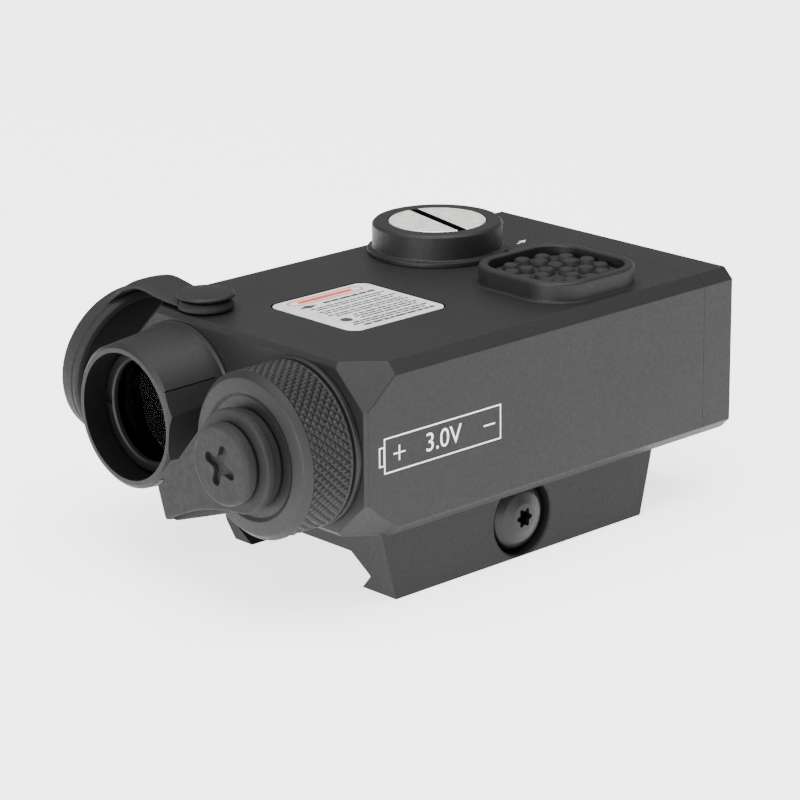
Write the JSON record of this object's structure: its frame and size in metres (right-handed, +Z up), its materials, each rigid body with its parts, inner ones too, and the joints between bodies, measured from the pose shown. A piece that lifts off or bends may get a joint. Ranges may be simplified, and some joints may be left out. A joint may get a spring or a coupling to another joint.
{
  "type": "rail-mounted laser collimator",
  "caption": "Machined box housing with a front laser barrel, slotted adjusters, knurled battery cap, rubber button and rail clamp underneath.",
  "frame": {"origin": "on the rail seat, on the rail's centre line, one rail slot ahead of the clamp bolt", "axes": "+Z up out of the rail, +Y back along the rail, the laser beam leaves towards -Y, +X towards the clamp screw's head"},
  "size_m": [0.0556, 0.0817, 0.0364],
  "materials": {
    "anodised": "matt black anodised",
    "steel": "blackened steel",
    "silver": "bare turned metal",
    "rubber": "matt moulded rubber",
    "glass": "coated glass",
    "brass": "turned brass",
    "board": "circuit board",
    "chip": "moulded package",
    "wrap": "shrink wrap",
    "label": "white plastic"
  },
  "bodies": {
    "housing": {"battery": "wrap", "battery_spring": "silver", "board_connector": "label", "controller_chip": "chip", "cover_screw_1": "steel", "cover_screw_2": "steel", "cover_screw_3": "steel", "cover_screw_4": "steel", "elevation_collar": "anodised", "elevation_seal": "rubber", "elevation_spring": "steel", "front_barrel": "anodised", "front_window": "glass", "housing": "anodised", "label_plate": "label", "main_board": "board", "mount_base": "anodised", "mount_screw_1": "steel", "mount_screw_2": "steel", "rear_contact": "brass", "rear_cover": "anodised", "snap_dome": "steel", "strap_post": "anodised", "switch_board": "board", "windage_collar": "anodised", "windage_seal": "rubber", "windage_spring": "steel", "window_ring": "anodised", "window_seal": "rubber"},
    "cap_carrier": {"cap_seal": "rubber"},
    "battery_cap": {"battery_cap": "anodised", "jack_socket": "steel", "contact_spring": "silver", "plug_tether": "rubber"},
    "port_plug": {"port_plug": "rubber"},
    "lens_cap_strap": {"lens_cap_strap": "rubber"},
    "lens_cap": {"lens_cap": "rubber"},
    "elevation_screw": {"elevation_screw": "silver"},
    "windage_screw": {"windage_screw": "silver"},
    "gimbal_ring": {"gimbal_ring": "steel"},
    "laser_module": {"laser_tube": "brass", "collimating_lens": "glass", "lens_cell": "anodised", "laser_diode": "brass", "driver_board": "board"},
    "button_pad": {"button_pad": "rubber"},
    "clamp_screw": {"clamp_screw": "steel"},
    "clamp_plate": {"clamp_plate": "anodised", "clamp_nut": "steel"}
  },
  "joints": [
    {"name": "elevation_turn", "type": "hinge", "parent": "housing", "child": "elevation_screw", "pos_m": [-0.0186, 0.0268, 0.027], "axis": [0, 0, 1], "range_deg": [-720, 720]},
    {"name": "windage_turn", "type": "hinge", "parent": "housing", "child": "windage_screw", "pos_m": [-0.0293, 0.0268, 0.0154], "axis": [-1, 0, 0], "range_deg": [-720, 720]},
    {"name": "module_yaw", "type": "hinge", "parent": "housing", "child": "gimbal_ring", "pos_m": [-0.0186, -0.008, 0.0154], "axis": [0, 0, 1], "range_deg": [-1.01, 1.01]},
    {"name": "module_pitch", "type": "hinge", "parent": "gimbal_ring", "child": "laser_module", "pos_m": [-0.0186, -0.008, 0.0154], "axis": [1, 0, 0], "range_deg": [-1.01, 1.01]},
    {"name": "button_press", "type": "slide", "parent": "housing", "child": "button_pad", "axis": [0, 0, -1], "range_m": [0, 0.0005], "stiffness_N_per_m": 1500},
    {"name": "cap_unscrew", "type": "slide", "parent": "housing", "child": "cap_carrier", "axis": [0, -1, 0], "range_m": [0, 0.005]},
    {"name": "cap_turn", "type": "hinge", "parent": "cap_carrier", "child": "battery_cap", "pos_m": [0.0051, -0.0235, 0.0154], "axis": [0, -1, 0], "range_deg": [0, 1440]},
    {"name": "plug_pull", "type": "slide", "parent": "battery_cap", "child": "port_plug", "axis": [0, -1, 0], "range_m": [0, 0.007]},
    {"name": "lens_cap_swivel", "type": "hinge", "parent": "housing", "child": "lens_cap_strap", "pos_m": [-0.0186, -0.015, 0.027], "axis": [0, 0, 1], "range_deg": [0, 93.1]},
    {"name": "lens_cap_fold", "type": "hinge", "parent": "lens_cap_strap", "child": "lens_cap", "pos_m": [-0.03168, -0.01429, 0.0282], "axis": [-0.0541, -0.9985, 0], "range_deg": [-80, 7.5], "stiffness_Nm_per_rad": 0.002},
    {"name": "clamp_close", "type": "slide", "parent": "housing", "child": "clamp_plate", "axis": [1, 0, 0], "range_m": [0, 0.0044]},
    {"name": "clamp_turn", "type": "hinge", "parent": "housing", "child": "clamp_screw", "pos_m": [0.0123, 0.01, 0.00034], "axis": [-1, 0, 0], "range_deg": [0, 1980]}
  ],
  "couplings": [
    {"joint": "module_pitch", "follows": "elevation_turn", "ratio": 0.0013889},
    {"joint": "module_yaw", "follows": "windage_turn", "ratio": 0.0013889},
    {"joint": "cap_turn", "follows": "cap_unscrew", "rad_per_m": 5026.5},
    {"joint": "clamp_turn", "follows": "clamp_close", "rad_per_m": 7853.9}
  ]
}
